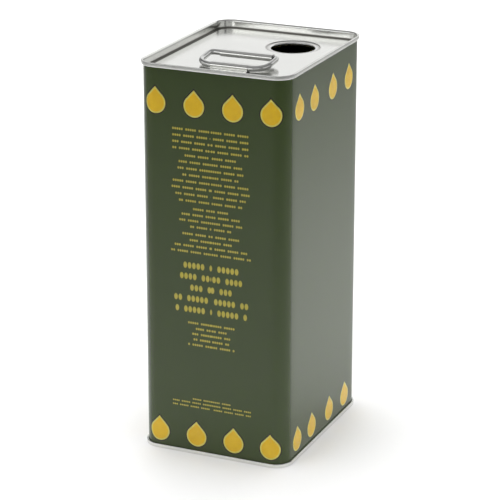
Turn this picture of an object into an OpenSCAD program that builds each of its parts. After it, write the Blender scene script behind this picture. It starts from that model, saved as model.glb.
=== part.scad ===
// Rectangular five litre oil tin: a welded tinplate body, two double-seamed ends,
// an open pouring mouth and a swinging wire bail with a rolled tinplate grip.
// Origin: centre of the footprint on the standing plane. +Z up, front face towards -Y.

/* [Body] */
// Width of the body across the front face
body_w = 120; // [110:1:130]
// Depth of the body from front to back
body_d = 150; // [140:1:165]
// Overall height, from seam to seam
tin_h = 308; // [250:1:330]
// Outside radius of the four upright corners
corner_r = 13; // [11:0.5:16]
// Thickness of the tinplate
sheet = 0.3; // [0.25:0.01:0.32]

/* [Double seams] */
// How far the seams stand out from the body wall
seam_out = 1.6; // [1.6:0.05:1.8]
// Height of a seam
seam_h = 3.2; // [3:0.1:3.6]

/* [Ends] */
// Depth of the top panel below its seam
top_drop = 6.3; // [5.8:0.1:8]
// Depth of the bottom panel above the standing plane
bottom_rise = 4.6; // [4.4:0.1:8]
// Depth of the groove at the foot of the seam wall
groove_depth = 1.2; // [1:0.1:1.5]

/* [Mouth] */
// Inside radius of the turned-down neck
mouth_r = 17; // [15:0.5:18]
// Outside radius of the shallow seat pressed round the mouth
seat_r = 21.4; // [21:0.1:23]
// Depth of that seat
seat_depth = 0.55; // [0.5:0.05:0.8]
// Length of the turned-down neck below the seat
neck_len = 2.2; // [2:0.1:5]
// Distance of the mouth's centre from the right wall and from the back wall
mouth_inset = 41; // [36:1:46]

/* [Bail] */
// Diameter of the bail wire
wire_d = 4.2; // [3.6:0.1:4.2]
// Width of the wire loop, from centre line to centre line
bail_w = 54.2; // [54:0.2:58]
// Distance from the hinge line to the line of the grip
bail_reach = 26; // [25:0.5:27]
// Bend radius of the loop's two corners by the hinge, on the centre line
hinge_bend = 12; // [10:0.5:12.5]
// Bend radius of the loop's two corners by the grip, on the centre line
grip_bend = 3.5; // [3:0.5:4]
// Angle of the resting bail above the top panel, where its stiff hinge holds it
bail_lift = 6.5; // [2:0.5:10]
// Length of the rolled grip
grip_len = 42; // [36:0.5:42]
// Width of the rolled grip
grip_w = 6.6; // [6:0.2:8]
// How far the grip sits to the right of the middle of its bar
grip_shift = 2.6; // [0:0.1:2.6]
// Place of the bail's middle, to the right of the tin's middle
bail_x = 3.4; // [0:0.2:5]
// Distance of the hinge line from the front wall
hinge_inset = 26; // [25:0.5:28]

/* [Hinge strap] */
// Length of the strap along the hinge line
strap_len = 29.6; // [26:0.2:30]
// Width of each welded flange of the strap
flange_w = 4.5; // [4:0.5:5]

/* [Hidden] */
$fn = 48;

half_t = sheet / 2;
arc_steps = 4;                       // straight steps in each small bend of the sheet
overlap = 0.5;                       // shared width where a panel joins its rim

// Layers of a seam, as centre lines measured outwards from the body's outside face
wall_line = -half_t;                 // body wall
chuck_gap = 0.03;                    // slip between body wall and end wall
chuck_line = -1.5 * sheet - chuck_gap;
seam_line = seam_out - half_t;       // outermost layer of the end
lining = 0.2;                        // thickness of the sealing compound
hook_line = seam_line - sheet - lining;
cover_line = 0.35;                   // end's hook, tucked behind the body's hook
seam_bend = 0.75;                    // centre-line radius of the seam's outer shoulder
lining_bend = seam_bend - half_t - lining / 2;
hook_bend = lining_bend - lining / 2 - half_t;
hook_bottom = seam_h - 0.65;         // where the body's hook ends, below the seam's top
cover_top = 1.15;                    // where the end's hook ends, below the seam's top
lining_bottom = 1.9;                 // where the compound ends, below the seam's top
turn_drop = sheet + lining + half_t; // body flange's centre line, below the seam's top

panel_inset = 7;                     // from the body's outside face to the flat panel
groove_in = 3.6;
groove_foot = 2.8;
top_z = tin_h - top_drop;            // upper surface of the top panel

mouth_x = body_w / 2 - mouth_inset;
mouth_y = body_d / 2 - mouth_inset;
seat_foot = seat_r - 0.7;            // where the seat's step reaches its floor
seat_lap = seat_r + 2;

wire_r = wire_d / 2;
running_gap = 0.08;                  // between the wire and the strap's barrel
rest_gap = 0.3;                      // between the hinge bar and the panel
hinge_y = -body_d / 2 + hinge_inset;
hinge_z = top_z + wire_r + rest_gap;
barrel_r = wire_r + running_gap;
grip_slip = 0.1;
grip_t = wire_d + 2 * grip_slip + 2 * sheet;
grip_slit = 0.8;                     // open joint along the underside of the grip

weld_w = 1.2;
weld_proud = 0.12;

bead_inset = 22;                     // bottom panel's bead, from the body wall
bead_w = 5;
bead_h = 0.8;

function unit(v) = v / norm(v);
function left_of(v) = [-v[1], v[0]];
function turned(v, a) = [v[0] * cos(a) - v[1] * sin(a), v[0] * sin(a) + v[1] * cos(a)];

// The points of one rounded corner b, between a and c
function bend(a, b, c, r) =
    let (
        u = unit(a - b),
        v = unit(c - b),
        open = acos(u * v),
        centre = b + unit(u + v) * r / sin(open / 2),
        first = b + u * r / tan(open / 2) - centre,
        way = cross([u[0], u[1]], [v[0], v[1]]) < 0 ? 1 : -1,
        sweep = way * (180 - open)
    )
    [for (i = [0 : arc_steps]) centre + turned(first, sweep * i / arc_steps)];

// A path through corners [x, y, radius], with its two ends left sharp
function path(k) =
    let (n = len(k))
    concat(
        [[k[0][0], k[0][1]]],
        [for (i = [1 : n - 2], q = bend(
            [k[i - 1][0], k[i - 1][1]], [k[i][0], k[i][1]], [k[i + 1][0], k[i + 1][1]], k[i][2]
        )) q],
        [[k[n - 1][0], k[n - 1][1]]]
    );

// The mitred sideways direction of a path at its point i
function mitre(p, i) =
    let (
        n = len(p),
        before = left_of(unit(i > 0 ? p[i] - p[i - 1] : p[1] - p[0])),
        after = left_of(unit(i < n - 1 ? p[i + 1] - p[i] : p[n - 1] - p[n - 2])),
        m = unit(before + after)
    )
    m / (m * before);

// Section of a bent sheet of thickness t along a path of corners
module sheet_section(k, t = sheet) {
    p = path(k);
    n = len(p);
    polygon(concat(
        [for (i = [0 : n - 1]) p[i] + mitre(p, i) * t / 2],
        [for (i = [n - 1 : -1 : 0]) p[i] - mitre(p, i) * t / 2]
    ));
}

// Sweeps a section round the body's outline: section x is outwards, section y is up
module round_body() {
    for (i = [0 : 3]) {
        across = i % 2 == 0 ? body_w : body_d;
        along = i % 2 == 0 ? body_d : body_w;
        rotate([0, 0, 90 * i])
            translate([across / 2, 0, 0])
                rotate([90, 0, 0])
                    linear_extrude(along - 2 * corner_r, center = true)
                        children();
        side = i % 2 == 0 ? [body_w / 2, body_d / 2] : [body_d / 2, body_w / 2];
        rotate([0, 0, 90 * i])
            translate([side[0] - corner_r, side[1] - corner_r, 0])
                rotate_extrude(angle = 90)
                    translate([corner_r, 0])
                        children();
    }
}

// The body's outline moved inwards, as a flat shape
module outline(inset) {
    r = corner_r - inset;
    w = body_w - 2 * inset;
    d = body_d - 2 * inset;
    square([w - 2 * r, d], center = true);
    square([w, d - 2 * r], center = true);
    for (x = [-1, 1], y = [-1, 1])
        translate([x * (w / 2 - r), y * (d / 2 - r)])
            circle(r);
}

// Rim of an end: flat panel edge, groove, seam wall and double seam, with its seam at z = 0
module end_rim(drop) {
    flat = -drop - half_t;
    round_body()
        sheet_section([
            [-panel_inset, flat],
            [-groove_in, flat, 0.8],
            [-groove_foot, flat - groove_depth, 0.8],
            [chuck_line, flat - groove_depth, 0.9],
            [chuck_line, -half_t, 0.5],
            [seam_line, -half_t, seam_bend],
            [seam_line, -seam_h + half_t, 0.45],
            [cover_line, -seam_h + half_t, 0.4],
            [cover_line, -cover_top]
        ]);
}

// Compound between the body's hook and the end, with the seam's top at z = 0
module seam_lining() {
    round_body()
        sheet_section([
            [-0.05, -sheet - lining / 2],
            [hook_line + half_t + lining / 2, -sheet - lining / 2, lining_bend],
            [hook_line + half_t + lining / 2, -lining_bottom]
        ], lining);
}

module body_shell() {
    color("darkolivegreen") {
        round_body()
            sheet_section([
                [hook_line, tin_h - hook_bottom],
                [hook_line, tin_h - turn_drop, hook_bend],
                [wall_line, tin_h - turn_drop, hook_bend],
                [wall_line, turn_drop, hook_bend],
                [hook_line, turn_drop, hook_bend],
                [hook_line, hook_bottom]
            ]);
        weld_z = seam_h + 1;
        translate([-weld_w / 2, body_d / 2 - half_t, weld_z])
            cube([weld_w, half_t + weld_proud, tin_h - 2 * weld_z]);
    }
}

module top_end() {
    floor_z = -half_t - seat_depth;
    color("gainsboro") {
        translate([0, 0, tin_h])
            end_rim(top_drop);
        translate([0, 0, top_z - sheet])
            linear_extrude(sheet)
                difference() {
                    outline(panel_inset - overlap);
                    translate([mouth_x, mouth_y])
                        circle(seat_lap - overlap);
                }
        translate([mouth_x, mouth_y, top_z])
            rotate_extrude()
                sheet_section([
                    [seat_lap, -half_t],
                    [seat_r, -half_t, 0.6],
                    [seat_foot, floor_z, 0.6],
                    [mouth_r + half_t, floor_z, 0.6],
                    [mouth_r + half_t, floor_z - neck_len]
                ]);
    }
}

module bottom_end() {
    color("lightgray")
        mirror([0, 0, 1]) {
            end_rim(bottom_rise);
            translate([0, 0, -bottom_rise - sheet])
                linear_extrude(sheet)
                    difference() {
                        outline(panel_inset - overlap);
                        outline_hole(bead_inset + overlap);
                    }
            bead_panel();
        }
}

// Square-cornered field of the bottom panel, raised inwards by one step
module outline_hole(inset) {
    square([body_w - 2 * inset, body_d - 2 * inset], center = true);
}

module bead_panel() {
    low = -bottom_rise - sheet;
    inner = bead_inset + bead_w;
    translate([0, 0, low])
        linear_extrude(sheet)
            difference() {
                outline_hole(bead_inset);
                outline_hole(bead_inset + bead_w / 2);
            }
    translate([0, 0, low - bead_h])
        linear_extrude(bead_h + sheet)
            difference() {
                outline_hole(bead_inset + bead_w / 2);
                outline_hole(inner - bead_w / 4);
            }
    translate([0, 0, low - bead_h])
        linear_extrude(sheet)
            outline_hole(inner - bead_w / 4);
}

module top_seam_compound() {
    color("darkseagreen")
        translate([0, 0, tin_h])
            seam_lining();
}

module bottom_seam_compound() {
    color("darkseagreen")
        mirror([0, 0, 1])
            seam_lining();
}

// Section of the strap across the hinge line, with the panel's surface at y = 0
module strap_section() {
    axis_h = hinge_z - top_z;
    outer = barrel_r + sheet;
    difference() {
        union() {
            translate([0, axis_h])
                circle(outer);
            translate([-outer, 0])
                square([2 * outer, axis_h]);
            translate([-outer - flange_w, 0])
                square([2 * (outer + flange_w), sheet]);
        }
        translate([0, axis_h])
            circle(barrel_r);
        translate([-barrel_r, -1])
            square([2 * barrel_r, axis_h + 1]);
    }
}

module hinge_strap() {
    color("silver")
        translate([bail_x, hinge_y, top_z])
            rotate([90, 0, 90])
                linear_extrude(strap_len, center = true)
                    strap_section();
}

// Places the bail: local x along the hinge line, local y from the hinge to the grip
module at_hinge() {
    translate([bail_x, hinge_y, hinge_z])
        rotate([bail_lift, 0, 0])
            children();
}

// A straight length of wire between two points of the loop's plane
module wire_run(from, to) {
    way = to - from;
    translate([from[0], from[1], 0])
        rotate([0, 0, atan2(way[1], way[0])])
            rotate([0, 90, 0])
                cylinder(h = norm(way), r = wire_r);
}

// A quarter bend of the wire round a centre, starting at an angle
module wire_corner(centre, start, bend) {
    translate([centre[0], centre[1], 0])
        rotate([0, 0, start])
            rotate_extrude(angle = 90)
                translate([bend, 0])
                    circle(wire_r);
}

module bail_wire() {
    x = bail_w / 2;
    hinge_run = x - hinge_bend;
    grip_run = x - grip_bend;
    far = bail_reach - grip_bend;
    color("silver")
        at_hinge() {
            wire_run([-hinge_run, 0], [hinge_run, 0]);
            wire_run([-grip_run, bail_reach], [grip_run, bail_reach]);
            for (side = [-1, 1])
                wire_run([side * x, hinge_bend], [side * x, far]);
            wire_corner([hinge_run, hinge_bend], 270, hinge_bend);
            wire_corner([-hinge_run, hinge_bend], 180, hinge_bend);
            wire_corner([grip_run, far], 0, grip_bend);
            wire_corner([-grip_run, far], 90, grip_bend);
        }
}

// A flattened ring: width w and thickness t
module flat_oval(w, t) {
    square([w - t, t], center = true);
    for (s = [-1, 1])
        translate([s * (w - t) / 2, 0])
            circle(t / 2);
}

module bail_grip() {
    color("gainsboro")
        at_hinge()
            translate([grip_shift, bail_reach, 0])
                rotate([90, 0, 90])
                    linear_extrude(grip_len, center = true)
                        difference() {
                            flat_oval(grip_w, grip_t);
                            flat_oval(grip_w - 2 * sheet, grip_t - 2 * sheet);
                            translate([-grip_slit / 2, -grip_t])
                                square([grip_slit, grip_t]);
                        }
}

body_shell();
top_end();
bottom_end();
top_seam_compound();
bottom_seam_compound();
hinge_strap();
bail_wire();
bail_grip();
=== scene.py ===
# Five litre oil tin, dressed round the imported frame. Metres, Z up, front towards -Y.
import math

import bpy
from mathutils import Matrix, Vector, noise


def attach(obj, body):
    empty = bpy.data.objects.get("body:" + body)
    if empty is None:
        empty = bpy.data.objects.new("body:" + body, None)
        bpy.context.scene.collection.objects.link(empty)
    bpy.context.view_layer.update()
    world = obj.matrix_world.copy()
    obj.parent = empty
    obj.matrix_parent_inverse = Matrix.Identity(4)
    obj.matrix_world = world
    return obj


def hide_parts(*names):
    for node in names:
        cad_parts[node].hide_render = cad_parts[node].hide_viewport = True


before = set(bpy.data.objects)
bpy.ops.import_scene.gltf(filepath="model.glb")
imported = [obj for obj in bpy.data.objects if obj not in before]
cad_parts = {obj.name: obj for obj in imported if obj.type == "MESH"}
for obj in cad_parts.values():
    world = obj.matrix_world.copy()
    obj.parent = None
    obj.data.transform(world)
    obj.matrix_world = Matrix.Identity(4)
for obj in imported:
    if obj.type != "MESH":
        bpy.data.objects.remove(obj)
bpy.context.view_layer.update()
mm = 0.001
print("frame loaded")

# The can as a whole, shared by the pieces below
can = {
    "halfWidth": 60 * mm,
    "halfDepth": 75 * mm,
    "cornerRadius": 13 * mm,
    "height": 308 * mm,
    "sheet": 0.3 * mm,
    "topPanel": 301.7 * mm,     # upper surface of the top panel
    "bottomPanel": 4.6 * mm,    # lower surface of the bottom panel
    "cornerSteps": 14,
    "sideSteps": 12,
    "joinGap": 0.005 * mm,      # places closer than this are one
    "flatGap": 0.01 * mm,       # places this near a plane lie on it
    "edgeGap": 0.05 * mm,       # and this near an edge, on the edge
}


# Small helpers, each one a few strokes in edit mode

def alone():
    if bpy.context.object and bpy.context.object.mode != "OBJECT":
        bpy.ops.object.mode_set(mode="OBJECT")
    bpy.ops.object.select_all(action="DESELECT")


def pick(piece):
    alone()
    piece.select_set(True)
    bpy.context.view_layer.objects.active = piece
    return piece


def bentLine(corners, steps=5):
    # corners are (across, up, bend radius), ends without a radius; each bend becomes an arc
    line = [Vector(corners[0][:2])]
    for before, here, after in zip(corners, corners[1:], corners[2:]):
        middle, radius = Vector(here[:2]), here[2]
        u = (Vector(before[:2]) - middle).normalized()
        v = (Vector(after[:2]) - middle).normalized()
        opening = u.angle(v)
        centre = middle + (u + v).normalized() * radius / math.sin(opening / 2)
        spoke = middle + u * radius / math.tan(opening / 2) - centre
        sweep = (math.pi - opening) * (1 if u.cross(v) < 0 else -1)
        for step in range(steps + 1):
            line.append(centre + Matrix.Rotation(sweep * step / steps, 2) @ spoke)
    line.append(Vector(corners[-1][:2]))
    return line


def spaced(line, longest):
    # the same line with its long stretches cut into shorter ones
    dense = [line[0]]
    for last, here in zip(line, line[1:]):
        parts = max(1, math.ceil((here - last).length / longest))
        dense += [last.lerp(here, (part + 1) / parts) for part in range(parts)]
    return dense


def drawLine(name, points):
    # one vertex, extruded from point to point, left in edit mode with all of it selected
    alone()
    bpy.ops.mesh.primitive_plane_add(size=mm)
    piece = bpy.context.object
    piece.name = piece.data.name = name
    bpy.context.tool_settings.mesh_select_mode = (True, False, False)
    bpy.ops.object.mode_set(mode="EDIT")
    bpy.ops.mesh.select_all(action="SELECT")
    bpy.ops.mesh.merge(type="CENTER")
    bpy.ops.transform.translate(value=points[0])
    for last, here in zip(points, points[1:]):
        bpy.ops.mesh.extrude_vertices_move(TRANSFORM_OT_translate={"value": here - last})
    bpy.ops.mesh.select_all(action="SELECT")
    return piece


def push(run, steps):
    # extrudes what is selected along a straight run
    for _ in range(steps):
        bpy.ops.mesh.extrude_region_move(TRANSFORM_OT_translate={"value": Vector(run) / steps})


def turn(centre, axis, angle, steps):
    # spin counts its angle clockwise about the axis
    bpy.ops.mesh.spin(steps=steps, angle=angle, center=centre, axis=axis)


def closeUp():
    # joins the ends of the sheet where they meet, makes its faces agree, and leaves edit mode
    bpy.ops.mesh.select_all(action="SELECT")
    bpy.ops.mesh.remove_doubles(threshold=can["joinGap"])
    bpy.ops.mesh.normals_make_consistent(inside=False)
    bpy.ops.object.mode_set(mode="OBJECT")


def roundTheCan():
    # carries the selected line once round the can, from the weld at the back and back to it;
    # each leg is its run, the centre of the corner after it, and its share of the side steps
    w = can["halfWidth"] - can["cornerRadius"]
    d = can["halfDepth"] - can["cornerRadius"]
    legs = [
        ((-w, 0, 0), (-w, d, 0), 0.5),
        ((0, -2 * d, 0), (-w, -d, 0), 1.2),
        ((2 * w, 0, 0), (w, -d, 0), 1),
        ((0, 2 * d, 0), (w, d, 0), 1.2),
        ((-w, 0, 0), None, 0.5),
    ]
    for run, corner, share in legs:
        push(run, round(can["sideSteps"] * share))
        if corner:
            turn(corner, (0, 0, 1), -math.pi / 2, can["cornerSteps"])


def modify(piece, kind, **settings):
    pick(piece)
    modifier = piece.modifiers.new(kind.title(), kind)
    for key, value in settings.items():
        setattr(modifier, key, value)
    bpy.ops.object.modifier_apply(modifier=modifier.name)


def facing(piece, rank):
    # which way the face with the highest rank looks
    return max(piece.data.polygons, key=lambda face: rank(face.center)).normal


def flip(piece):
    # turns every face over
    pick(piece)
    bpy.ops.object.mode_set(mode="EDIT")
    bpy.ops.mesh.select_all(action="SELECT")
    bpy.ops.mesh.flip_normals()
    bpy.ops.object.mode_set(mode="OBJECT")


def choose(piece, test, kind="VERT"):
    # selects the vertices, or the faces, whose place passes the test
    pick(piece)
    mesh = piece.data
    for group in (mesh.vertices, mesh.edges, mesh.polygons):
        for part in group:
            part.select = False
    bpy.context.tool_settings.mesh_select_mode = (kind == "VERT", False, kind == "FACE")
    if kind == "FACE":
        for face in mesh.polygons:
            face.select = test(face.center)
    else:
        for vertex in mesh.vertices:
            vertex.select = test(vertex.co)
    bpy.ops.object.mode_set(mode="EDIT")


def cutInto(piece, test, axis, places, gap=0.1 * mm):
    # bisects the chosen faces at each of the places on an axis, the rest hidden meanwhile;
    # points nearer to a cut than the gap serve as points of the cut
    direction = [0, 0, 0]
    direction[axis] = 1
    choose(piece, test, "FACE")
    bpy.ops.mesh.hide(unselected=True)
    for place in places:
        bpy.ops.mesh.select_all(action="SELECT")
        point = [place * d for d in direction]
        bpy.ops.mesh.bisect(plane_co=point, plane_no=direction, threshold=gap)
    bpy.ops.mesh.reveal(select=False)


def smooth(piece):
    # sharp only where faces meet at more than 40 degrees
    pick(piece)
    bpy.ops.object.shade_smooth_by_angle(angle=math.radians(40))


def finished(piece, body, slot, materials, *nodes):
    # gives the piece its materials and tells the frame what it rides on and stands for
    piece.data.materials.clear()
    for material in materials:
        piece.data.materials.append(material)
    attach(piece, body)
    if nodes:
        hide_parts(*nodes)


# Camera, floor and light

shot = {
    "azimuth": 23.90,           # degrees from the front towards the right
    "elevation": 19.08,
    "distance": 1738.3 * mm,
    "aside": -1.90 * mm,        # the aim's place across the view
    "aim": 145.1 * mm,          # and its height
    "lens": 160.5,
    "film": 36,
    "farthest": 20,             # metres that it sees
}


def setCamera():
    az, el = math.radians(shot["azimuth"]), math.radians(shot["elevation"])
    back = Vector((math.sin(az) * math.cos(el), -math.cos(az) * math.cos(el), math.sin(el)))
    right = Vector((math.cos(az), math.sin(az), 0))
    aim = right * shot["aside"] + Vector((0, 0, shot["aim"]))
    data = bpy.data.cameras.new("camera")
    data.lens, data.sensor_width = shot["lens"], shot["film"]
    data.clip_end = shot["farthest"]
    camera = bpy.data.objects.new("camera", data)
    bpy.context.scene.collection.objects.link(camera)
    turned = Matrix((right, back.cross(right), back)).transposed().to_4x4()
    camera.matrix_world = Matrix.Translation(aim + back * shot["distance"]) @ turned
    bpy.context.scene.camera = camera


setCamera()

studio = {
    "floorSize": 8.0,
    "floorColour": (0.88, 0.88, 0.88, 1),
    "floorRoughness": 0.7,
    "skyStrength": 0.21,
}
# Soft boxes: place, what each is aimed at, size, watts, spread in degrees, and what each serves:
# "floor" boxes are not mirrored by the metal, "tin" boxes are only mirrored
softBoxes = {
    "back": ((-0.20, 1.90, 1.10), (-0.10, 0.00, 0.30), (3.2, 1.0), 8.6, 180, "all"),
    "frontLeft": ((-0.85, -1.10, 1.20), (0.00, 0.00, 0.25), (1.1, 1.1), 4.0, 180, "floor"),
    "low": ((-0.70, -1.75, 0.80), (0.00, 0.00, 0.31), (2.1, 0.6), 7.5, 180, "tin"),
    "lowLeft": ((-1.80, -0.45, 0.80), (0.00, 0.00, 0.31), (1.6, 0.6), 2.6, 180, "tin"),
    "lowFront": ((0.95, -1.60, 0.80), (0.00, 0.00, 0.31), (1.4, 0.6), 1.7, 180, "tin"),
    "lowRight": ((1.80, 0.10, 0.80), (0.00, 0.00, 0.31), (1.8, 0.6), 2.4, 180, "tin"),
    "zenith": ((-0.10, 0.05, 1.60), (-0.10, 0.05, 0.00), (1.8, 1.8), 1.8, 180, "tin"),
    "right": ((1.25, 0.20, 0.45), (0.06, 0.00, 0.22), (0.9, 0.6), 1.6, 120, "floor"),
    "overhead": ((-0.10, 0.05, 1.50), (-0.08, 0.02, 0.00), (1.3, 1.3), 8, 80, "floor"),
    "far": ((-0.60, 1.20, 1.60), (-0.70, 1.30, 0.00), (1.0, 1.0), 10, 90, "floor"),
}


def softBox(name, place, aim, size, power, spread, lights):
    data = bpy.data.lights.new(name, "AREA")
    data.shape, data.size, data.size_y = "RECTANGLE", size[0], size[1]
    data.energy, data.spread = power, math.radians(spread)
    light = bpy.data.objects.new(name, data)
    bpy.context.scene.collection.objects.link(light)
    light.location = place
    light.rotation_euler = (Vector(aim) - Vector(place)).to_track_quat("-Z", "Y").to_euler()
    light.visible_camera = False
    light.visible_glossy = lights != "floor"
    light.visible_diffuse = lights != "tin"


def setStudio():
    alone()
    bpy.ops.mesh.primitive_plane_add(size=studio["floorSize"])
    floor = bpy.context.object
    floor.name = "floor"
    paint = bpy.data.materials.new("paleFloor")
    paint.use_nodes = True
    shader = paint.node_tree.nodes["Principled BSDF"]
    shader.inputs["Base Color"].default_value = studio["floorColour"]
    shader.inputs["Roughness"].default_value = studio["floorRoughness"]
    floor.data.materials.append(paint)
    world = bpy.data.worlds.new("studio")
    bpy.context.scene.world = world
    world.use_nodes = True
    sky = world.node_tree.nodes["Background"]
    sky.inputs["Color"].default_value = (1, 1, 1, 1)
    sky.inputs["Strength"].default_value = studio["skyStrength"]
    for name, settings in softBoxes.items():
        softBox(name, *settings)


setStudio()
bpy.context.scene.view_settings.view_transform = "Standard"
print("camera and studio set")


# Materials

def newMaterial(name):
    material = bpy.data.materials.new(name)
    material.use_nodes = True
    return material.node_tree, material.node_tree.nodes["Principled BSDF"], material


def add(tree, kind, inputs=(), **settings):
    made = tree.nodes.new("ShaderNode" + kind)
    for key, value in settings.items():
        setattr(made, key, value)
    for key, value in dict(inputs).items():
        if isinstance(value, bpy.types.NodeSocket):
            tree.links.new(value, made.inputs[key])
        else:
            made.inputs[key].default_value = value
    return made


def calc(tree, operation, *values):
    return add(tree, "Math", enumerate(values), operation=operation).outputs[0]


def blendColour(tree, share, low, high):
    made = add(tree, "Mix", data_type="RGBA")
    for socket, value in ((0, share), (6, low), (7, high)):
        if isinstance(value, bpy.types.NodeSocket):
            tree.links.new(value, made.inputs[socket])
        else:
            made.inputs[socket].default_value = value
    return made.outputs[2]


def colour(red, green, blue):
    # screen values from 0 to 255, turned to linear light
    linear = [((c / 255 + 0.055) / 1.055) ** 2.4 if c > 10 else c / 3294.6 for c in (red, green, blue)]
    return tuple(linear) + (1,)


brightTin = {
    "dark": colour(218, 219, 215),
    "light": colour(228, 228, 225),
    # painted shade colour, for the groove at the wall's foot and the step round the mouth
    "paintedShade": colour(74, 71, 62),
    "roughness": 0.19,
    "grain": 2200,              # rolling lines to the metre, across the sheet
    "lineStretch": 0.03,        # the lines' width as a share of their length
    "lineDepth": 0.003 * mm,
    "clouds": 22.0,             # to the metre, as are the smudges
    "smudges": 70.0,
    "cloudGloss": 0.06,         # how far each of them changes the roughness
    "smudgeGloss": 0.03,
    "shadeGloss": 0.25,
    "glossShift": 0.05,         # what clouds and smudges add together, on average
    "shadeShare": 0.85,          # how fully the painted shade darkens the metal where it is strongest
}


def tinplateMaterial():
    tree, shader, material = newMaterial("brightTinplate")
    place = add(tree, "TexCoord").outputs["Object"]
    shader.inputs["Metallic"].default_value = 1.0
    along = {"Vector": place, "Scale": (1.0, brightTin["lineStretch"], 1.0)}
    stretched = add(tree, "Mapping", along).outputs[0]
    lines = {"Vector": stretched, "Scale": brightTin["grain"], "Detail": 2.0}
    rolling = add(tree, "TexNoise", lines).outputs[0]
    patches = {"Vector": place, "Scale": brightTin["clouds"], "Detail": 3.0}
    cloud = add(tree, "TexNoise", patches).outputs[0]
    wiped = {"Vector": place, "Scale": brightTin["smudges"], "Detail": 5.0, "Distortion": 1.2}
    smudge = add(tree, "TexNoise", wiped).outputs[0]
    # painted shade: this attribute darkens the tin in the groove at the wall's foot and on the step
    # round the mouth, and makes it duller there
    paintedShade = add(tree, "Attribute", attribute_name="paintedShade").outputs["Fac"]
    tone = blendColour(tree, cloud, brightTin["dark"], brightTin["light"])
    shaded = calc(tree, "MULTIPLY", paintedShade, brightTin["shadeShare"])
    tone = blendColour(tree, shaded, tone, brightTin["paintedShade"])
    tree.links.new(tone, shader.inputs["Base Color"])
    rough = brightTin["roughness"] - brightTin["glossShift"]
    rough = calc(tree, "MULTIPLY_ADD", cloud, brightTin["cloudGloss"], rough)
    rough = calc(tree, "MULTIPLY_ADD", smudge, brightTin["smudgeGloss"], rough)
    rough = calc(tree, "MULTIPLY_ADD", paintedShade, brightTin["shadeGloss"], rough)
    tree.links.new(rough, shader.inputs["Roughness"])
    bump = add(tree, "Bump", {"Height": rolling, "Strength": 0.05, "Distance": brightTin["lineDepth"]})
    tree.links.new(bump.outputs[0], shader.inputs["Normal"])
    return material


tinplate = tinplateMaterial()

lacquer = {
    "green": colour(46, 62, 14),
    "worn": colour(54, 70, 20),
    "roughness": 0.15,
    "clouds": 9.0,              # to the metre, as are the next three
    "speckles": 260.0,          # in the gold
    "scratches": 900.0,
    "peel": 480.0,              # the varnish's faint unevenness
    "peelDepth": 0.01 * mm,
    "cloudGloss": 0.06,         # how far clouds and scratches change the roughness
    "scratchGloss": 0.05,
    "glossShift": 0.04,
    "weldMargin": 4.5 * mm,     # bare tin kept clear for the weld, each side of it
}
# All in millimetres; the places are those round the wall from the front's middle
drops = {
    "places": [-238.7, -206.5, -174.3, -142.1, -109.9, -77.7, -45.5, -14,
               17.2, 47.8, 79.1, 108, 144.3, 176.6, 209, 241.3],
    "lowRow": 14.5,             # heights of the round ends' centres
    "highRow": 278.1,
    "radius": 8.35,
    "tip": 12.3,                # from the round end's centre up to the point
    "border": 1.15,             # pale, inside the edge
    "outline": 0.95,            # dark, outside the edge
    "blur": 0.12,               # softness of the print's edges
    "goldBlur": 0.15,
    "gold": colour(236, 196, 26),
    "amber": colour(222, 176, 14),
    "edge": colour(216, 204, 96),
    "dark": colour(26, 26, 4),
}
# Rows of leaf-shaped dashes on the front, in groups, all in millimetres:
# top row, spacing of the rows, height of a row, pitch of the dashes, half width of each row
ornament = {
    "middle": -1.0,
    "widest": 40.0,             # no row reaches this far from the middle
    "leafReach": 2.2,           # a dash's ends, the larger the shorter
    "leafEdge": 0.8,            # square of the share of that reach where the gold ends
    "leafBlur": 0.16,
    "cycle": 6.0,               # in dashes: five of them, then a gap of one
    "together": 4.5,
    "gold": colour(184, 171, 57),
    "groups": [
        (260, 4.9, 2.1, 1.8, (31, 31, 31, 31)),
        (240, 5.0, 2.1, 1.8, (21, 26, 27, 23)),
        (220, 5.0, 2.1, 1.8, (31, 32, 29, 26)),
        (199, 4.7, 2.1, 1.8, (14.5, 24, 26, 17)),
        (179, 4.7, 2.1, 1.8, (23.5, 17.5, 30, 33)),
        (154, 8.8, 5.6, 3.6, (23, 26, 17.5, 31, 30)),
        (108, 4.4, 2.1, 1.8, (19.5, 13, 16, 15, 19.5)),
        (45.5, 3.2, 1.5, 1.5, (16, 33, 33)),
    ],
}


def below(tree, value, limit, softness):
    # 1 where the value lies below the limit, 0 above it, with a soft change between
    span = {0: value, 1: limit - softness, 2: limit + softness, 3: 1.0, 4: 0.0}
    return add(tree, "MapRange", span).outputs[0]


def dropField(tree, across, up):
    # distance in millimetres from the outline of a drop: a round end under two straight flanks
    lean = drops["radius"] / drops["tip"]
    rise = math.sqrt(1 - lean * lean)
    squares = calc(tree, "MULTIPLY_ADD", across, across, calc(tree, "MULTIPLY", up, up))
    bowl = calc(tree, "SQRT", squares)
    flank = calc(tree, "MULTIPLY_ADD", up, lean, calc(tree, "MULTIPLY", across, rise))
    leaning = calc(tree, "MULTIPLY", across, lean)
    upper = calc(tree, "GREATER_THAN", calc(tree, "MULTIPLY", up, rise), leaning)
    gap = calc(tree, "SUBTRACT", flank, bowl)
    return calc(tree, "SUBTRACT", calc(tree, "MULTIPLY_ADD", upper, gap, bowl), drops["radius"])


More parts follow.
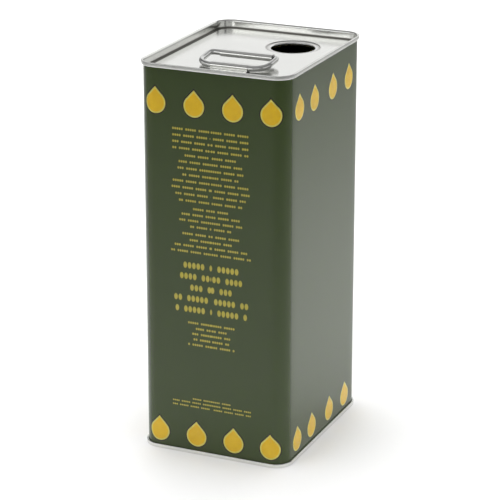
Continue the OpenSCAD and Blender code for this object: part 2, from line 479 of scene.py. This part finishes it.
def dashRows(tree, across, up, group):
    # one group of rows of leaf-shaped dashes, each row as wide as its own half width
    top, spacing, height, pitch, halves = group
    steps = calc(tree, "DIVIDE", calc(tree, "SUBTRACT", top, up), spacing)
    row = calc(tree, "ROUND", steps)
    off = calc(tree, "MULTIPLY", calc(tree, "SUBTRACT", steps, row), spacing * 2 / height)
    widths = add(tree, "ValToRGB")
    band = widths.color_ramp
    band.interpolation = "CONSTANT"
    for index, half in enumerate(halves):
        stop = band.elements[index] if index < 2 else band.elements.new(1)
        stop.position = index / len(halves)
        stop.color = [half / ornament["widest"]] * 3 + [1]
    rows = len(halves)
    tree.links.new(calc(tree, "MULTIPLY_ADD", row, 1 / rows, 0.5 / rows), widths.inputs[0])
    inGroup = calc(tree, "COMPARE", row, (rows - 1) / 2, rows / 2)
    half = calc(tree, "MULTIPLY", widths.outputs[0], ornament["widest"])
    inside = calc(tree, "SUBTRACT", half, calc(tree, "ABSOLUTE", across))
    beads = calc(tree, "DIVIDE", inside, pitch)
    middle = calc(tree, "SUBTRACT", calc(tree, "FRACT", beads), 0.5)
    count = calc(tree, "FLOOR", beads)
    beat = calc(tree, "MODULO", calc(tree, "ADD", count, row), ornament["cycle"])
    kept = calc(tree, "LESS_THAN", beat, ornament["together"])
    length = calc(tree, "MULTIPLY", middle, ornament["leafReach"])
    leaf = calc(tree, "MULTIPLY_ADD", off, off, calc(tree, "MULTIPLY", length, length))
    inRow = calc(tree, "GREATER_THAN", count, -0.5)
    gilt = below(tree, leaf, ornament["leafEdge"], ornament["leafBlur"])
    shape = calc(tree, "MULTIPLY", gilt, inRow)
    return calc(tree, "MULTIPLY", calc(tree, "MULTIPLY", shape, kept), inGroup)


def lacquerMaterial():
    tree, shader, material = newMaterial("printedTinplate")
    place = add(tree, "TexCoord").outputs["Object"]
    sheet = add(tree, "UVMap", uv_map="sheetMap").outputs[0]
    scaled = add(tree, "VectorMath", {0: sheet, 1: (1 / mm, 1 / mm, 1 / mm)}, operation="MULTIPLY")
    along, up = add(tree, "SeparateXYZ", {0: scaled.outputs[0]}).outputs[:2]

    nearest = None
    for centre in drops["places"]:
        away = calc(tree, "ABSOLUTE", calc(tree, "SUBTRACT", along, centre))
        nearest = away if nearest is None else calc(tree, "MINIMUM", nearest, away)
    highHalf = calc(tree, "GREATER_THAN", up, can["height"] / mm / 2)
    between = drops["highRow"] - drops["lowRow"]
    centreHeight = calc(tree, "MULTIPLY_ADD", highHalf, between, drops["lowRow"])
    field = dropField(tree, nearest, calc(tree, "SUBTRACT", up, centreHeight))

    # the ground: deep green, a little lighter and duller in soft clouds
    patches = {"Vector": place, "Scale": lacquer["clouds"], "Detail": 3.0}
    cloud = add(tree, "TexNoise", patches).outputs[0]
    ground = blendColour(tree, cloud, lacquer["green"], lacquer["worn"])
    rows = None
    across = calc(tree, "SUBTRACT", along, ornament["middle"])
    for group in ornament["groups"]:
        part = dashRows(tree, across, up, group)
        rows = part if rows is None else calc(tree, "MAXIMUM", rows, part)
    onFront = calc(tree, "LESS_THAN", calc(tree, "ABSOLUTE", across), ornament["widest"])
    ground = blendColour(tree, calc(tree, "MULTIPLY", rows, onFront), ground, ornament["gold"])

    # the drops: dark outline, pale border, then gold flecked with amber
    grains = {"Vector": place, "Scale": lacquer["speckles"], "Detail": 3.0}
    speckle = add(tree, "TexNoise", grains).outputs[0]
    gold = blendColour(tree, speckle, drops["amber"], drops["gold"])
    ink = blendColour(tree, below(tree, field, drops["outline"], drops["blur"]), ground, drops["dark"])
    ink = blendColour(tree, below(tree, field, 0, drops["blur"]), ink, drops["edge"])
    ink = blendColour(tree, below(tree, field, -drops["border"], drops["goldBlur"]), ink, gold)

    # the bare margin on either side of the weld, half the way round from the front's middle
    straight = can["halfWidth"] + can["halfDepth"] - 2 * can["cornerRadius"]
    weld = 2 * straight + can["cornerRadius"] * math.pi
    bareFrom = (weld - lacquer["weldMargin"]) / mm
    margin = calc(tree, "GREATER_THAN", calc(tree, "ABSOLUTE", along), bareFrom)
    tone = blendColour(tree, margin, ink, brightTin["dark"])
    tree.links.new(tone, shader.inputs["Base Color"])
    tree.links.new(margin, shader.inputs["Metallic"])

    # fine rub marks and a faint unevenness of the varnish
    streaks = {"Vector": place, "Rotation": (0.3, 0.5, 0.9), "Scale": (1, 0.04, 1)}
    stretched = add(tree, "Mapping", streaks).outputs[0]
    rubs = {"Vector": stretched, "Scale": lacquer["scratches"], "Detail": 2.0}
    scratches = calc(tree, "MULTIPLY", add(tree, "TexNoise", rubs).outputs[0], lacquer["scratchGloss"])
    rubbed = calc(tree, "MULTIPLY_ADD", cloud, lacquer["cloudGloss"], scratches)
    rough = calc(tree, "ADD", rubbed, lacquer["roughness"] - lacquer["glossShift"])
    tree.links.new(rough, shader.inputs["Roughness"])
    peel = add(tree, "TexNoise", {"Vector": place, "Scale": lacquer["peel"], "Detail": 1.0}).outputs[0]
    bump = add(tree, "Bump", {"Height": peel, "Strength": 0.05, "Distance": lacquer["peelDepth"]})
    tree.links.new(bump.outputs[0], shader.inputs["Normal"])
    return material


printed = lacquerMaterial()


# The other metals: darker tone, lighter tone, roughness, speckles to the metre
metals = {
    "insideTinplate": (colour(150, 146, 130), colour(178, 174, 158), 0.42, 600.0),
    "tinnedWire": (colour(196, 197, 195), colour(222, 222, 220), 0.22, 800.0),
}
wear = {
    "clouds": 60.0,             # to the metre
    "gloss": 0.12,              # how far the speckles change the roughness
    "pits": 0.01 * mm,          # their depth
}


def metalMaterial(name):
    # its tone and gloss vary in soft clouds and fine speckles
    dark, light, roughness, grain = metals[name]
    tree, shader, material = newMaterial(name)
    place = add(tree, "TexCoord").outputs["Object"]
    shader.inputs["Metallic"].default_value = 1.0
    cloud = add(tree, "TexNoise", {"Vector": place, "Scale": wear["clouds"], "Detail": 4.0}).outputs[0]
    fine = add(tree, "TexNoise", {"Vector": place, "Scale": grain, "Detail": 3.0}).outputs[0]
    tree.links.new(blendColour(tree, cloud, dark, light), shader.inputs["Base Color"])
    rough = calc(tree, "MULTIPLY_ADD", fine, wear["gloss"], roughness - wear["gloss"] / 2)
    tree.links.new(rough, shader.inputs["Roughness"])
    bump = add(tree, "Bump", {"Height": fine, "Strength": 0.15, "Distance": wear["pits"]})
    tree.links.new(bump.outputs[0], shader.inputs["Normal"])
    return material


rubber = {
    "dark": colour(120, 124, 112),
    "light": colour(150, 152, 138),
    "roughness": 0.7,
    "crumbs": 900.0,            # to the metre
    "crumbDepth": 0.05 * mm,
}


def compoundMaterial():
    tree, shader, material = newMaterial("sealingCompound")
    place = add(tree, "TexCoord").outputs["Object"]
    shader.inputs["Roughness"].default_value = rubber["roughness"]
    crumbs = {"Vector": place, "Scale": rubber["crumbs"], "Detail": 4.0}
    crumb = add(tree, "TexNoise", crumbs).outputs[0]
    tone = blendColour(tree, crumb, rubber["dark"], rubber["light"])
    tree.links.new(tone, shader.inputs["Base Color"])
    bump = add(tree, "Bump", {"Height": crumb, "Strength": 0.4, "Distance": rubber["crumbDepth"]})
    tree.links.new(bump.outputs[0], shader.inputs["Normal"])
    return material


insideTin = metalMaterial("insideTinplate")
wireSteel = metalMaterial("tinnedWire")
compound = compoundMaterial()
print("materials made")


# The printed body

def alongSheet(x, y, side):
    # distance round the wall from the middle of the front, positive towards the right
    radius = can["cornerRadius"]
    w, d = can["halfWidth"] - radius, can["halfDepth"] - radius
    x = abs(x)
    if y < -d:
        way = x if x < w else w + radius * math.atan2(x - w, -y - d)
    elif y < d:
        way = w + radius * math.pi / 2 + y + d
    else:
        way = w + radius * math.pi / 2 + 2 * d
        way += radius * math.atan2(y - d, x - w) if x > w else radius * math.pi / 2 + w - x
    return side * way


def mapSheet(piece):
    # the sheet's own map, in metres: round the wall from the front's middle, and up
    mesh = piece.data
    uv = mesh.uv_layers.new(name="sheetMap")
    for face in mesh.polygons:
        side = 1 if face.center.x > 0 else -1
        for corner in face.loop_indices:
            at = mesh.vertices[mesh.loops[corner].vertex_index].co
            uv.data[corner].uv = (alongSheet(at.x, at.y, side), at.z)


shell = {
    "inset": 1.2 * mm,          # the sheet's ends lie this far inside the seams
    "nearEnd": 2.4 * mm,        # from each end to the row of points beside it
    "rows": 40,
    "lap": 1.1 * mm,            # width of the overlap at the weld
    "lapRise": 0.12 * mm,
    "lapEdge": 0.1 * mm,        # width of its slope
    "lapClear": 3.7 * mm,       # it runs out this far from the can's ends, before the seams
    "lapField": 8 * mm,         # the faces this near the weld are cut for it
}


def makeBody():
    low, high = shell["inset"], can["height"] - shell["inset"]
    levels = [low, low + shell["nearEnd"], high - shell["nearEnd"], high]
    levels += [low + (high - low) * step / shell["rows"] for step in range(1, shell["rows"])]
    points = [Vector((0, can["halfDepth"], z)) for z in sorted(levels)]
    body = drawLine("tin_body", points)
    roundTheCan()
    closeUp()
    if facing(body, lambda at: at.x).x < 0:
        flip(body)
    # the sheet's overlap at the weld, a narrow raised strip up the back
    lap, slope = shell["lap"] / 2, shell["lapEdge"]
    cuts = [-lap - slope, -lap, lap, lap + slope]

    def byWeld(at):
        return at.y > can["halfDepth"] - can["flatGap"] and abs(at.x) < shell["lapField"]

    cutInto(body, byWeld, 0, cuts, can["joinGap"])
    bpy.ops.object.mode_set(mode="OBJECT")
    for vertex in body.data.vertices:
        at = vertex.co
        onLap = at.y > 0 and abs(at.x) < lap + slope / 2
        if onLap and shell["lapClear"] < at.z < can["height"] - shell["lapClear"]:
            at.y += shell["lapRise"]
    mapSheet(body)
    body.data.materials.append(printed)
    body.data.materials.append(insideTin)
    modify(body, "SOLIDIFY", thickness=can["sheet"], offset=-1, use_rim=True, material_offset=1)
    smooth(body)
    finished(body, "tin", "printed_tinplate", [printed, insideTin], "body_shell")


makeBody()
print("body made")


# The two ends, with their double seams

seam = {
    "out": 1.6 * mm,
    "height": 3.2 * mm,
    "topDrop": 6.3 * mm,
    "bottomRise": 4.6 * mm,
    "hookOut": 0.35 * mm,       # the tucked hook, out from the body's outside face
    "hookEnd": 1.15 * mm,       # and how far inside the seam it ends
    "hookBend": 0.4 * mm,
    "footBend": 0.45 * mm,
    "outerShoulder": 0.35 * mm,
    "innerShoulder": 1.2 * mm,
    "air": 0.03 * mm,           # between the body and the end's wall
    "hollow": 0.18 * mm,        # how far the wall has come in at its middle
    "hollowAt": 0.45,           # share of the drop
    "hollowBend": 3 * mm,
    "lean": 0.45 * mm,          # how far the wall's foot stands in from its top
    "groove": 0.8 * mm,         # depth of the groove at the wall's foot
    "grooveFloor": 2.8 * mm,    # where its floor and its slope end, in from the outside face
    "grooveSlope": 3.6 * mm,
    "grooveBend": 0.8 * mm,
    "flat": 7 * mm,             # where the flat panel begins, in from the outside face
    "longest": 0.8 * mm,        # between two points of the section
}
mouth = {
    "x": 19 * mm,
    "y": 34 * mm,
    "radius": 17 * mm,
    "seatRadius": 21.4 * mm,
    "seatDepth": 0.55 * mm,
    "seatSlope": 0.7 * mm,
    "neck": 2.2 * mm,
    "bend": 0.6 * mm,
    "ring": 24 * mm,            # the first round ring on the panel
    "block": 28 * mm,           # half the square block of faces it is drawn from
}
# A faint unevenness of the pressed panel, none by the rim and the mouth
panelWaves = {
    "depth": 0.10 * mm,
    "rim": (7 * mm, 16 * mm),
    "mouth": (24 * mm, 36 * mm),
    "toTheMetre": 28,
}
# Where shade is painted on the top end, as pairs between which it fades in or out: in the groove at
# the wall's foot and on the step round the mouth
shadeBands = {
    "footDepth": (-1.4 * mm, -0.8 * mm),        # below the panel's surface
    "footStart": (0.4 * mm, 0.7 * mm),          # in from the body's outside face
    "footEnd": (1.6 * mm, 2.4 * mm),
    "stepStart": (20.2 * mm, 20.5 * mm),        # from the mouth's middle
    "stepEnd": (21.2 * mm, 21.7 * mm),
    "stepDepth": (0.02 * mm, 0.2 * mm),
    "stepShare": 0.6,
}
bottomBead = {
    "inset": 22 * mm,
    "width": 5 * mm,
    "height": 0.8 * mm,
    "corner": 8 * mm,
    "grid": 3 * mm,             # spacing of the cuts that carry it, and how many each way
    "cutsAcross": 17,
    "cutsAlong": 22,
}


def depthInside(at, inset=0, radius=can["cornerRadius"]):
    # how far inside a rounded rectangle a place lies, the body's outside face unless one further in
    px = abs(at.x) - can["halfWidth"] + inset + radius
    py = abs(at.y) - can["halfDepth"] + inset + radius
    return radius - math.hypot(max(px, 0), max(py, 0)) - min(max(px, py), 0)


def pastRim(at):
    return depthInside(at) > seam["flat"] - can["edgeGap"]


def onPanel(at, level):
    return pastRim(at) and abs(at.z - level) < can["flatGap"]


def ramp(value, low, high):
    # 0 up to low, 1 from high, softly in between
    share = min(1, max(0, (value - low) / (high - low)))
    return share * share * (3 - 2 * share)


def rimSection(drop):
    # centre line of the end's sheet, from its tucked hook, over the seam, down to the panel
    half = can["sheet"] / 2
    out, flat = seam["out"] - half, -drop - half
    foot, groove = half - seam["height"], flat - seam["groove"]
    wall = -3 * half - seam["air"]
    return spaced(bentLine([
        (seam["hookOut"], -seam["hookEnd"]),
        (seam["hookOut"], foot, seam["hookBend"]),
        (out, foot, seam["footBend"]),
        (out, -half, seam["outerShoulder"]),
        (wall, -half, seam["innerShoulder"]),
        (wall - seam["hollow"], -seam["hollowAt"] * drop, seam["hollowBend"]),
        (wall - seam["lean"], groove, seam["grooveBend"]),
        (-seam["grooveFloor"], groove, seam["grooveBend"]),
        (-seam["grooveSlope"], flat, seam["grooveBend"]),
        (-seam["flat"], flat),
    ]), seam["longest"])


def makeRim(name, base, up, drop):
    # the whole rim of an end and its flat panel as one face
    line = [Vector((0, can["halfDepth"] + p.x, base + up * p.y)) for p in rimSection(drop)]
    end = drawLine(name, line)
    roundTheCan()
    bpy.ops.mesh.select_all(action="SELECT")
    bpy.ops.mesh.remove_doubles(threshold=can["joinGap"])
    choose(end, pastRim)
    bpy.ops.mesh.edge_face_add()
    return end


def fromMouth(at):
    return Vector((at.x - mouth["x"], at.y - mouth["y"]))


def onCircle(away, radius):
    # the place on a circle that a place on the square block goes to, evenly spread
    quarter = round(math.atan2(away.y, away.x) / (math.pi / 2)) * math.pi / 2
    local = Matrix.Rotation(-quarter, 2) @ away
    return Matrix.Rotation(quarter + math.pi / 4 * local.y / local.x, 2) @ Vector((radius, 0))


def pressMouth(end, onBlock, level):
    # the square hole drawn in to a circle, then the seat and the turned-down neck, ring by ring
    floor, bend = level - mouth["seatDepth"], mouth["bend"]
    middle, neck = Vector((mouth["x"], mouth["y"])), mouth["radius"] + can["sheet"] / 2
    section = bentLine([
        (mouth["ring"], level),
        (mouth["seatRadius"], level, bend),
        (mouth["seatRadius"] - mouth["seatSlope"], floor, bend),
        (neck, floor, bend),
        (neck, floor - mouth["neck"]),
    ])
    choose(end, onBlock)
    bpy.ops.mesh.subdivide(number_cuts=2)
    bpy.ops.mesh.extrude_region_move()
    bpy.ops.object.mode_set(mode="OBJECT")
    for vertex in end.data.vertices:
        if vertex.select:
            vertex.co.xy = middle + onCircle(fromMouth(vertex.co), mouth["ring"])
    bpy.ops.object.mode_set(mode="EDIT")
    for last, here in zip(section, section[1:]):
        share = here.x / last.x
        bpy.ops.mesh.extrude_region_move(TRANSFORM_OT_translate={"value": (0, 0, here.y - last.y)})
        bpy.ops.transform.resize(value=(share, share, 1), center_override=(middle.x, middle.y, level))


def paintShade(piece, share):
    # how much shade is painted at each place, for the tinplate's material
    paintedShade = piece.data.attributes.new("paintedShade", "FLOAT", "POINT")
    for vertex in piece.data.vertices:
        paintedShade.data[vertex.index].value = share(vertex.co)


def topShade(at):
    # painted shade at the wall's foot, all round, and a little on the step round the mouth
    inwards, low, away = depthInside(at), can["topPanel"] - at.z, fromMouth(at).length
    foot = ramp(inwards, *shadeBands["footStart"]) * (1 - ramp(inwards, *shadeBands["footEnd"]))
    step = ramp(away, *shadeBands["stepStart"]) * (1 - ramp(away, *shadeBands["stepEnd"]))
    foot *= ramp(low, *shadeBands["footDepth"])
    step *= ramp(low, *shadeBands["stepDepth"])
    return max(foot, shadeBands["stepShare"] * step)


def makeTopEnd():
    half = can["sheet"] / 2
    level = can["topPanel"] - half
    end = makeRim("tin_top", can["height"], 1, seam["topDrop"])
    block = mouth["block"]

    def onSheet(at):
        return onPanel(at, level)

    def onBlock(at):
        fromEdge = max(map(abs, fromMouth(at))) - block
        return abs(at.z - level) < can["flatGap"] and abs(fromEdge) < 2 * can["flatGap"]

    # cuts a quarter of the block apart, over the whole panel
    cutInto(end, onSheet, 0, [mouth["x"] + block * step / 4 for step in range(-10, 6)])
    cutInto(end, onSheet, 1, [mouth["y"] + block * step / 4 for step in range(-14, 5)])
    choose(end, lambda at: onSheet(at) and max(map(abs, fromMouth(at))) < block, "FACE")
    bpy.ops.mesh.delete(type="FACE")
    pressMouth(end, onBlock, level)
    closeUp()
    if facing(end, lambda at: -abs(at.z - level) - abs(at.x)).z < 0:
        flip(end)
    for vertex in end.data.vertices:
        at = vertex.co
        if onSheet(at):
            fade = ramp(depthInside(at), *panelWaves["rim"])
            fade *= ramp(fromMouth(at).length, *panelWaves["mouth"])
            wave = noise.noise(Vector((at.x, at.y, 0)) * panelWaves["toTheMetre"])
            at.z -= panelWaves["depth"] * fade * (0.5 + 0.5 * wave)
    modify(end, "SOLIDIFY", thickness=can["sheet"], offset=0, use_rim=True)
    # painted shade: darkens the tin in the groove at the wall's foot and on the step round the mouth
    paintShade(end, topShade)
    smooth(end)
    finished(end, "tin", "bright_tinplate", [tinplate], "top_end")


def makeBottomEnd():
    half = can["sheet"] / 2
    level = can["bottomPanel"] + half
    end = makeRim("tin_bottom", 0, -1, seam["bottomRise"])
    grid = bottomBead["grid"]
    for axis, cuts in enumerate((bottomBead["cutsAcross"], bottomBead["cutsAlong"])):
        places = [grid * step for step in range(-cuts, cuts + 1)]
        cutInto(end, lambda at: onPanel(at, level), axis, places)
    closeUp()
    if facing(end, lambda at: -abs(at.z - level) - abs(at.x)).z > 0:
        flip(end)
    for vertex in end.data.vertices:
        at = vertex.co
        if onPanel(at, level):
            inside = depthInside(at, bottomBead["inset"], bottomBead["corner"])
            at.z += bottomBead["height"] * ramp(inside, 0, bottomBead["width"])
    modify(end, "SOLIDIFY", thickness=can["sheet"], offset=0, use_rim=True)
    smooth(end)
    finished(end, "tin", "bright_tinplate", [tinplate], "bottom_end")


makeTopEnd()
makeBottomEnd()
print("ends made")


# Hinge strap, bail and grip

bail = {
    "x": 3.4 * mm,
    "hingeY": -49 * mm,
    "hingeZ": 304.1 * mm,
    "wire": 4.2 * mm,
    "width": 54.2 * mm,
    "reach": 26 * mm,
    "hingeBend": 12 * mm,
    "gripBend": 3.5 * mm,
    "lift": 6.5,                # degrees above the panel, where the stiff hinge holds it
    "gripLength": 42 * mm,
    "gripShift": 2.6 * mm,      # the grip has slid to the right along its bar
    "gripWidth": 6.6 * mm,
    "gripThickness": 5 * mm,
    "slit": 0.8 * mm,           # along the underside of the grip
    "sides": 20,                # of the wire's round
    "runSteps": 6,
    "bendSteps": 14,
    "gripSteps": 40,
    "gripRound": 8,             # steps in each of its bends
    "longest": 0.8 * mm,        # between two points of the grip's section
}
strap = {
    "length": 29.6 * mm,
    "flange": 4.5 * mm,
    "flangeBend": 0.4 * mm,
    "slip": 0.08 * mm,          # between the wire and the barrel
    "spots": 5,                 # weld dimples on each flange
    "spotRadius": 1.3 * mm,
    "spotDepth": 0.14 * mm,
    "spotPlace": 0.55,          # share of the flange
    "steps": 56,
    "bendSteps": 8,
    "longest": 0.75 * mm,       # between two points of the section
}


def settle(piece, where, tilt=0):
    # moves the mesh to its place, so that the object stays at the origin
    pick(piece)
    piece.rotation_euler.x = math.radians(tilt)
    piece.location = where
    bpy.ops.object.transform_apply(location=True, rotation=True, scale=True)


def makeStrap():
    half = can["sheet"] / 2
    over = bail["wire"] / 2 + strap["slip"] + half
    axis = bail["hingeZ"] - can["topPanel"]
    brim = over + half + strap["flange"]
    line = spaced(bentLine([
        (-brim, half),
        (-over, half, strap["flangeBend"]),
        (-over, axis + over, over),
        (over, axis + over, over),
        (over, half, strap["flangeBend"]),
        (brim, half),
    ], strap["bendSteps"]), strap["longest"])
    piece = drawLine("hinge_strap_cover", [Vector((-strap["length"] / 2, p.x, p.y)) for p in line])
    push((strap["length"], 0, 0), strap["steps"])
    closeUp()
    if facing(piece, lambda at: at.z).z < 0:
        flip(piece)
    for vertex in piece.data.vertices:
        at = vertex.co
        fromRow = abs(at.y) - over - half - strap["spotPlace"] * strap["flange"]
        for spot in range(strap["spots"]):
            spotX = strap["length"] * ((spot + 0.5) / strap["spots"] - 0.5)
            away = math.hypot(at.x - spotX, fromRow) / strap["spotRadius"]
            at.z -= strap["spotDepth"] * (1 - ramp(away, 0.4, 1))
    modify(piece, "SOLIDIFY", thickness=can["sheet"], offset=0, use_rim=True)
    settle(piece, (bail["x"], bail["hingeY"], can["topPanel"]))
    smooth(piece)
    finished(piece, "tin", "bright_tinplate", [tinplate], "hinge_strap")


def makeWire():
    x, reach = bail["width"] / 2, bail["reach"]
    low, high = bail["hingeBend"], bail["gripBend"]
    alone()
    bpy.ops.mesh.primitive_circle_add(vertices=bail["sides"], radius=bail["wire"] / 2,
                                      rotation=(0, math.pi / 2, 0))
    wire = bpy.context.object
    wire.name = wire.data.name = "bail_loop"
    bpy.ops.object.transform_apply(location=True, rotation=True, scale=True)
    bpy.context.tool_settings.mesh_select_mode = (True, False, False)
    bpy.ops.object.mode_set(mode="EDIT")
    bpy.ops.mesh.select_all(action="SELECT")
    side = reach - low - high
    legs = [
        ((x - low, 0, 0), (x - low, low, 0)),
        ((0, side, 0), (x - high, reach - high, 0)),
        ((2 * (high - x), 0, 0), (high - x, reach - high, 0)),
        ((0, -side, 0), (low - x, low, 0)),
        ((x - low, 0, 0), None),
    ]
    for run, centre in legs:
        push(run, bail["runSteps"])
        if centre:
            turn(centre, (0, 0, 1), -math.pi / 2, bail["bendSteps"])
    closeUp()
    if facing(wire, lambda at: at.z).z < 0:
        flip(wire)
    settle(wire, (bail["x"], bail["hingeY"], bail["hingeZ"]), bail["lift"])
    smooth(wire)
    finished(wire, "bail", "bail_steel", [wireSteel], "bail_wire")


def makeGrip():
    half = can["sheet"] / 2
    w, t = bail["gripWidth"] / 2 - half, bail["gripThickness"] / 2 - half
    line = spaced(bentLine([
        (bail["slit"] / 2, -t),
        (w, -t, t),
        (w, t, t),
        (-w, t, t),
        (-w, -t, t),
        (-bail["slit"] / 2, -t),
    ], bail["gripRound"]), bail["longest"])
    start = bail["gripShift"] - bail["gripLength"] / 2
    grip = drawLine("bail_grip_tube", [Vector((start, bail["reach"] + p.x, p.y)) for p in line])
    push((bail["gripLength"], 0, 0), bail["gripSteps"])
    closeUp()
    if facing(grip, lambda at: at.z).z < 0:
        flip(grip)
    modify(grip, "SOLIDIFY", thickness=can["sheet"], offset=0, use_rim=True)
    settle(grip, (bail["x"], bail["hingeY"], bail["hingeZ"]), bail["lift"])
    smooth(grip)
    finished(grip, "bail", "bright_tinplate", [tinplate], "bail_grip")


makeStrap()
makeWire()
makeGrip()
print("strap, bail and grip made")

for name in ("top_seam_compound", "bottom_seam_compound"):
    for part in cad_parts[name].material_slots:
        part.material = compound
print("sealing compound finished")
